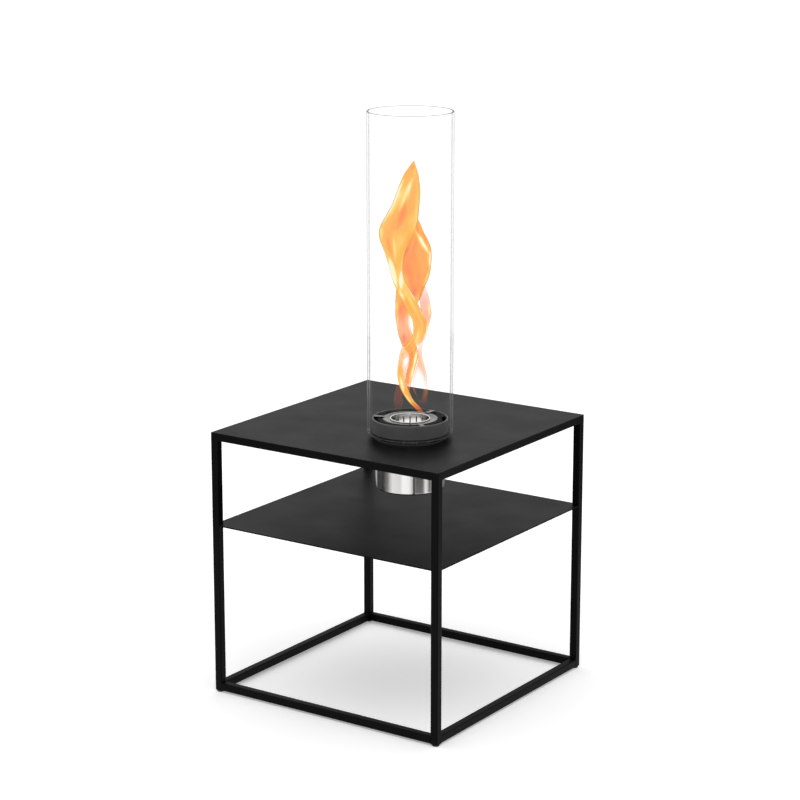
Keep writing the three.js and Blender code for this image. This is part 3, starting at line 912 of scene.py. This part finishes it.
# Each sheet is a list of places from its top down: height, left edge, right edge and depth towards
# the viewer from the burner's axis, all in millimetres, and how dense the fire is there. Its licks
# are hotter or cooler streaks in it: from, to, half width in millimetres, and the heat that they add.
# Its gaps are streaks that thin it out, written in the same way.
sheets = {
    "tongue": {
        "bulge": 6, "heat": 0.58,
        "places": [
            (807, 4, 6, 0, 1.0), (800, -1, 8, -1, 1.0), (787, -10, 12, -2, 1.0),
            (773, -16, 14, -3, 1.0), (760, -21, 15, -5, 1.0), (744, -27, 14, -7, 1.0),
            (731, -34, 13, -7, 1.0), (719, -41, 12, -6, 1.0), (710, -45, 10, -4, 1.0),
            (702, -46, 8, -2, 1.0), (692, -44, 4, 1, 1.0), (680, -39, -5, 3, 1.0),
            (663, -33, -10, 7, 1.0), (640, -27, -9, 10, 1.0), (623, -20, 0, 12, 1.0),
            (609, -12, 8, 13, 1.0), (594, -5, 16, 14, 1.0), (579, 2, 22, 12, 1.0),
            (564, 4, 23, 8, 1.0), (548, 0, 18, 5, 0.9), (533, -13, 5, 5, 0.5),
            (518, -17, -9, 3, 0.7), (503, -19, -10, 1, 0.95), (488, -18, -8, -1, 1.0),
            (471, -13, -2, -5, 1.0), (455, -4, 5, -11, 0.95), (444, 5, 14, -15, 0.7),
            (434, 14, 21, -18, 0.0),
        ],
        "licks": [
            ((4, 795), (5, 802), 3, -0.2), ((-9, 780), (-40, 716), 2.2, 0.6),
            ((3, 782), (-16, 734), 3.4, 0.42), ((-8, 772), (-30, 726), 4.5, 0.2),
            ((-6, 746), (-18, 710), 5, -0.25), ((9, 782), (8, 719), 2.3, 0.1),
            ((-42, 713), (-41, 696), 3, 0.2), ((-33, 699), (-28, 674), 2.6, -0.2),
            ((-24, 699), (-21, 661), 2, 0.3), ((-30, 669), (-19, 628), 4, 0.75),
            ((-13, 650), (-14, 622), 2.7, 0.55), ((-16, 625), (-8, 608), 3, 0.4),
            ((-2, 625), (12, 602), 1.2, 0.6), ((12, 602), (22, 578), 1.4, 0.4),
            ((13, 568), (9, 545), 2.4, 0.22), ((-15, 497), (-9, 468), 2.3, 0.5),
            ((-9, 468), (2, 450), 2.3, 0.25), ((3, 452), (20, 430), 5, -0.5),
            ((-4, 473), (5, 454), 2.3, -0.2), ((12, 720), (-9, 658), 4, -0.28),
        ],
        "gaps": [((13, 722), (-8, 658), 3.2, 0.75)],
    },
    "lobe": {
        "bulge": -6, "heat": 0.32,
        "places": [
            (728, 5, 8, -8, 0.7), (717, 3, 14, -9, 1.0), (705, 0, 19, -8, 1.0),
            (694, -6, 25, -7, 1.0), (683, -15, 30, -5, 1.0), (669, -21, 32, -5, 1.0),
            (654, -23, 31, -6, 1.0), (638, -22, 28, -9, 1.0), (623, -21, 22, -12, 1.0),
            (605, -22, 15, -14, 1.0), (590, -22, 6, -14, 1.0), (579, -22, 0, -13, 0.95),
            (565, -20, 1, -11, 0.85), (551, -17, 4, -8, 0.92), (536, -11, 10, -6, 1.0),
            (523, -2, 12, -6, 1.0), (508, -3, 9, -7, 1.0), (493, -6, 5, -9, 0.95),
            (480, -8, 2, -10, 0.8), (468, -8, -1, -12, 0.0),
        ],
        "licks": [
            ((2, 720), (8, 704), 2.4, 0.5), ((6, 706), (27, 672), 3.4, 0.75),
            ((30, 680), (28, 647), 2.4, 0.6), ((28, 651), (20, 622), 1.8, 0.45),
            ((-3, 659), (1, 626), 4.6, -0.14), ((7, 619), (4, 606), 4.3, -0.16),
            ((-13, 659), (2, 694), 2.1, -0.2), ((-3, 667), (6, 693), 1.7, 0.2),
            ((-19, 605), (-18, 561), 2.2, 0.4), ((-14, 595), (-11, 559), 4, -0.12),
            ((-9, 554), (-9, 539), 3, -0.4), ((1, 559), (7, 537), 2.6, 0.12),
            ((11, 534), (5, 502), 2.0, 0.75), ((6, 508), (0, 480), 1.8, 0.6),
            ((5, 536), (-3, 484), 4, 0.25),
        ],
        "gaps": [((-2, 584), (0, 557), 2.2, 0.45)],
    },
    "right_loop": {
        "bulge": 5, "heat": 0.18,
        "places": [
            (626, 17, 22, -6, 0.4), (610, 13, 27, -8, 0.65), (595, 14, 30, -7, 0.75),
            (584, 16, 31, -5, 0.8), (571, 18, 28, -2, 0.8), (557, 15, 24, 1, 0.65),
            (543, 12, 19, 3, 0.45), (529, 11, 17, 5, 0.65), (519, 11, 19, 6, 0.75),
            (507, 8, 22, 7, 0.7), (493, 4, 25, 8, 0.6), (477, 3, 26, 6, 0.36),
            (462, 10, 25, 2, 0.12), (451, 14, 24, -2, 0.0),
        ],
        "licks": [
            ((27, 602), (28, 578), 2, 0.6), ((28, 578), (21, 552), 2, 0.55),
            ((13, 530), (22, 505), 3, 0.35),
        ],
        "gaps": [((12, 507), (14, 462), 6.5, 0.8)],
    },
    "veil": {
        "bulge": 3, "heat": 0.2,
        "places": [
            (540, -12, 2, -2, 0.4), (525, -16, 5, -5, 0.6), (510, -17, 3, -7, 0.5),
            (495, -17, 0, -8, 0.65), (480, -14, -1, -8, 0.6), (468, -11, 0, -11, 0.2),
            (461, -6, 1, -12, 0.0),
        ],
        "licks": [((-13, 531), (-16, 509), 1.7, 0.3)],
        "gaps": [((-7, 524), (-7, 508), 4, 0.35)],
    },
    "wisp": {
        "bulge": -3, "heat": 0.05,
        "places": [
            (491, -19, -14, -1, 0.0), (479, -20, -13, -2, 0.12), (466, -23, -11, -4, 0.13),
            (454, -24, -10, -5, 0.09), (444, -23, -12, -7, 0.04), (436, -20, -15, -9, 0.0),
        ],
        "licks": [],
        "gaps": [],
    },
}


def between(places, share):
    """A place on the smooth line through the given ones, at that share of the way along."""
    step = share * (len(places) - 1)
    i = min(int(step), len(places) - 2)
    t = step - i
    before, start, end, after = (
        places[max(i - 1, 0)], places[i], places[i + 1], places[min(i + 2, len(places) - 1)]
    )
    return [
        b + (c - a) * t / 2 + (2 * a - 5 * b + 4 * c - d) * t**2 / 2 + (3 * b - a - 3 * c + d) * t**3 / 2
        for a, b, c, d in zip(before, start, end, after)
    ]


def streaked(spot, streaks):
    """What a sheet's streaks add at a spot, each fading out to its sides and its ends."""
    added = 0.0
    for start, end, width, gain in streaks:
        way = Vector(end) - Vector(start)
        offset = spot - Vector(start)
        share = min(max(offset.dot(way) / way.length_squared, 0.0), 1.0)
        full = streak_tip + (1 - streak_tip) * sin(pi * share)
        added += gain * full * exp(-(((offset - way * share).length / (width * full)) ** 2))
    return added


sight = Matrix.Translation(burner.translation) @ Matrix.Rotation(camera_azimuth, 4, "Z")
fire = bmesh.new()
spread = fire.loops.layers.uv.new("sheet")
body = fire.verts.layers.float.new("fire_body")
heat = fire.verts.layers.float.new("fire_heat")
for number, sheet in enumerate(sheets.values()):
    made = bmesh.ops.create_grid(fire, x_segments=flame_across, y_segments=flame_along, size=0.5)["verts"]
    for vert in made:
        across, along = vert.co.x + 0.5, 0.5 - vert.co.y
        for loop in vert.link_loops:
            loop[spread].uv = (across + map_pitch * number, along)
        height, left, right, depth, dense = between(sheet["places"], along)
        reach = left + (right - left) * across
        bulge = sheet["bulge"] * sin(pi * across)
        vert.co = sight @ (Vector((reach, -depth - bulge, height)) * mm)
        spot = Vector((reach, height))
        vert[body] = max(0.0, dense - streaked(spot, sheet["gaps"]))
        vert[heat] = sheet["heat"] + streaked(spot, sheet["licks"])

flame_fire, tree = new_material("burning_ethanol_sheets")
sheet_map = add_node(tree, "ShaderNodeUVMap", {}, uv_map="sheet").outputs["UV"]
map_parts = add_node(tree, "ShaderNodeSeparateXYZ", {"Vector": sheet_map})
share_across = add_node(
    tree, "ShaderNodeMath", {0: map_parts.outputs["X"], 1: map_pitch}, operation="MODULO"
)
centred = add_node(
    tree, "ShaderNodeMath", {0: share_across.outputs[0], 1: 2.0, 2: -1.0}, operation="MULTIPLY_ADD"
)
outward = add_node(tree, "ShaderNodeMath", {0: centred.outputs[0]}, operation="ABSOLUTE").outputs[0]
edge_heat = add_node(tree, "ShaderNodeMath", {0: outward, 1: hot_edge_power}, operation="POWER")
stretched = add_node(
    tree, "ShaderNodeVectorMath", {0: sheet_map, 1: lick_count}, operation="MULTIPLY"
)
fine_licks = add_node(
    tree, "ShaderNodeTexNoise",
    {"Vector": stretched.outputs[0], "Scale": 1.0, "Detail": 2.0, "Roughness": 0.45, "Distortion": 0.6},
)
fine_heat = add_node(
    tree, "ShaderNodeMapRange",
    {
        "Value": fine_licks.outputs["Fac"], "From Min": noise_low, "From Max": noise_high,
        "To Min": -lick_heat, "To Max": lick_heat,
    },
)
own_heat = add_node(tree, "ShaderNodeAttribute", {}, attribute_name="fire_heat").outputs["Fac"]
warm = add_node(tree, "ShaderNodeMath", {0: own_heat, 1: fine_heat.outputs["Result"]}, operation="ADD")
hot = add_node(
    tree, "ShaderNodeMath", {0: edge_heat.outputs[0], 1: hot_edge, 2: warm.outputs[0]},
    operation="MULTIPLY_ADD",
)
ramp = add_node(tree, "ShaderNodeValToRGB", {"Fac": hot.outputs[0]})
while len(ramp.color_ramp.elements) < len(flame_colours):
    ramp.color_ramp.elements.new(0.5)
for stop, (position, colour) in zip(ramp.color_ramp.elements, flame_colours):
    stop.position = position
    stop.color = linear(colour)
cooled = add_node(
    tree, "ShaderNodeMapRange",
    {
        "Value": outward, "From Min": 1.0 - cool_share, "From Max": 1.0 - fade_share / 2,
        "To Min": 0.0, "To Max": cool_cover,
    },
    interpolation_type="SMOOTHSTEP",
)
fire_colour = add_node(
    tree, "ShaderNodeMix",
    {"Factor": cooled.outputs["Result"], "A": ramp.outputs["Color"], "B": linear(cool_rim)},
    data_type="RGBA",
)
faded = add_node(
    tree, "ShaderNodeMapRange",
    {"Value": outward, "From Min": 1.0, "From Max": 1.0 - fade_share, "To Min": 0.0, "To Max": 1.0},
    interpolation_type="SMOOTHSTEP",
)
own_body = add_node(tree, "ShaderNodeAttribute", {}, attribute_name="fire_body").outputs["Fac"]
body_left = add_node(
    tree, "ShaderNodeMath", {0: own_body, 1: faded.outputs["Result"]}, operation="MULTIPLY"
)
hot_dense = add_node(
    tree, "ShaderNodeMapRange", {"Value": hot.outputs[0], "To Min": cold_dense, "To Max": 1.0}
)
cover = add_node(
    tree, "ShaderNodeMath", {0: body_left.outputs[0], 1: hot_dense.outputs["Result"]},
    operation="MULTIPLY",
)
glow = add_node(tree, "ShaderNodeEmission", {"Color": fire_colour.outputs["Result"], "Strength": 1.0})
clear = add_node(tree, "ShaderNodeBsdfTransparent", {})
surface = add_node(
    tree, "ShaderNodeMixShader", {0: cover.outputs[0], 1: clear.outputs[0], 2: glow.outputs[0]}
)
add_node(tree, "ShaderNodeOutputMaterial", {"Surface": surface.outputs[0]})
bpy.context.scene.cycles.transparent_max_bounces = transparent_depth

flame = add_piece("flame", fire, flame_fire, smooth=180)
flame.visible_shadow = False
flame.visible_glossy = False
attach(flame, "head")


# Floor and backdrop
# A plain white floor that keeps the table's soft shadow. Cameras, metal and glass see it brighter
# than it is lit, so that it runs white into the white world behind it.
floor_radius = 60.0
floor_white = "#f4f4f4"
floor_bounce = "#9a9a9a"  # what it throws back on the table, less than it shows
floor_lift = 0.28


def seen_in(tree):
    """1 for the rays that show the background, from the camera, metal or glass, and 0 for others."""
    rays = add_node(tree, "ShaderNodeLightPath", {})
    seen = rays.outputs["Is Camera Ray"]
    for kind in ("Is Glossy Ray", "Is Transmission Ray"):
        seen = add_node(
            tree, "ShaderNodeMath", {0: seen, 1: rays.outputs[kind]}, operation="ADD", use_clamp=True
        ).outputs[0]
    return seen


floor_paint, tree = new_material("floor_white_matt")
seen = seen_in(tree)
lift = add_node(tree, "ShaderNodeMath", {0: seen, 1: floor_lift}, operation="MULTIPLY")
shade = add_node(
    tree, "ShaderNodeMix",
    {"Factor": seen, "A": linear(floor_bounce), "B": linear(floor_white)},
    data_type="RGBA",
)
matt = add_node(tree, "ShaderNodeBsdfDiffuse", {"Color": shade.outputs["Result"]})
shine = add_node(tree, "ShaderNodeEmission", {"Strength": lift.outputs[0]})
both = add_node(tree, "ShaderNodeAddShader", {0: matt.outputs[0], 1: shine.outputs[0]})
add_node(tree, "ShaderNodeOutputMaterial", {"Surface": both.outputs[0]})

disc = bmesh.new()
bmesh.ops.create_circle(disc, cap_ends=True, segments=96, radius=floor_radius)
floor = add_piece("floor", disc, floor_paint)


# Studio light
# A white room all round, brighter overhead, as from a large soft box. Only reflections see the low
# screen of greys, which draws the upright bands on the sleeve.
dome_top = 1.75
dome_side = 0.35

world = bpy.data.worlds.new("white_room")
bpy.context.scene.world = world
world.use_nodes = True
tree = world.node_tree
tree.nodes.clear()
way = add_node(tree, "ShaderNodeTexCoord", {}).outputs["Generated"]
way_parts = add_node(tree, "ShaderNodeSeparateXYZ", {"Vector": way})
rise = add_node(tree, "ShaderNodeMath", {0: way_parts.outputs["Z"], 1: 2.0}, operation="POWER")
dome = add_node(
    tree, "ShaderNodeMapRange", {"Value": rise.outputs[0], "To Min": dome_side, "To Max": dome_top}
)
level = add_node(
    tree, "ShaderNodeMix",
    {"Factor": seen_in(tree), "A": dome.outputs["Result"], "B": 1.0}, data_type="FLOAT",
)
sky = add_node(
    tree, "ShaderNodeBackground", {"Color": linear("#ffffff"), "Strength": level.outputs["Result"]}
)
add_node(tree, "ShaderNodeOutputWorld", {"Surface": sky.outputs[0]})

# A low screen round the burner: its grey by the turn from the viewer's right, seen from the burner.
screen_distance = 1.0
screen_height = 0.34
screen_step = 2  # degrees
screen_greys = [
    (10, 0.6), (22, 0.1), (26, 0.14), (31, 0.62), (38, 0.9), (43, 0.5), (48, 0.1), (60, 0.06),
    (70, 0.09), (78, 0.25), (86, 0.7), (93, 1.0), (112, 1.1), (118, 0.95), (122, 0.78), (150, 0.86),
    (158, 0.6), (168, 0.2), (184, 0.07), (226, 0.05), (236, 0.4), (244, 0.45), (256, 0.6), (268, 0.6),
    (276, 0.2), (330, 0.2), (345, 0.6), (370, 0.6),
]

screen_paint, tree = new_material("screen_greys")
grey = add_node(tree, "ShaderNodeAttribute", {}, attribute_name="grey").outputs["Fac"]
matt = add_node(tree, "ShaderNodeEmission", {"Color": grey, "Strength": 1.0})
add_node(tree, "ShaderNodeOutputMaterial", {"Surface": matt.outputs[0]})
band = bmesh.new()
low = band.verts.new((screen_distance, 0, 0))
high = band.verts.new((screen_distance, 0, screen_height))
bmesh.ops.spin(
    band, geom=[low, high, band.edges.new((low, high))], cent=(0, 0, 0), axis=(0, 0, -1),
    angle=tau, steps=360 // screen_step, use_merge=True,
)
first_turn = screen_greys[0][0]
layer = band.verts.layers.float.new("grey")
for vert in band.verts:
    turn = (-degrees(atan2(vert.co.y, vert.co.x)) - first_turn) % 360 + first_turn
    for (before, tone), (after, next_tone) in zip(screen_greys, screen_greys[1:]):
        if before <= turn <= after:
            vert[layer] = tone + (next_tone - tone) * (turn - before) / (after - before)
bmesh.ops.transform(band, matrix=sight, verts=band.verts)
screen = add_piece("screen_low", band, screen_paint)
screen.visible_camera = False
screen.visible_diffuse = False
screen.visible_transmission = False
screen.visible_volume_scatter = False
screen.visible_shadow = False

# The fire in the cup, as a small lamp behind the axis, low enough that only the cup sees it.
fire_power = 0.0013  # watts
fire_size = 6 * mm
fire_place = Vector((-3, 12, 417)) * mm

fire_lamp = bpy.data.lights.new("fire_in_cup", "POINT")
fire_lamp.energy = fire_power
fire_lamp.shadow_soft_size = fire_size
fire_light = bpy.data.objects.new("fire_in_cup", fire_lamp)
fire_light.location = sight @ fire_place
fire_light.visible_camera = False
bpy.context.scene.collection.objects.link(fire_light)


# Camera
# Solved from the frame's corners in the photograph, which is 800 pixels square. A long lens looks
# down a little on the table, from over the corner that the burner stands near.
camera_elevation = radians(13.957)
camera_distance = 3.6172
camera_target = Vector((0, 0, 0.4385))
focal_pixels = 2438.24
picture_pixels = 800
sensor = 36.0

lens = bpy.data.cameras.new("camera")
lens.sensor_width = sensor
lens.lens = focal_pixels / picture_pixels * sensor
lens.clip_end = 200.0
camera = bpy.data.objects.new("camera", lens)
back = Vector(
    (
        sin(camera_azimuth) * cos(camera_elevation),
        -cos(camera_azimuth) * cos(camera_elevation),
        sin(camera_elevation),
    )
)
camera.location = camera_target + back * camera_distance
camera.rotation_euler = (-back).to_track_quat("-Z", "Y").to_euler()
bpy.context.scene.collection.objects.link(camera)
bpy.context.scene.camera = camera
bpy.context.scene.view_settings.view_transform = "Standard"
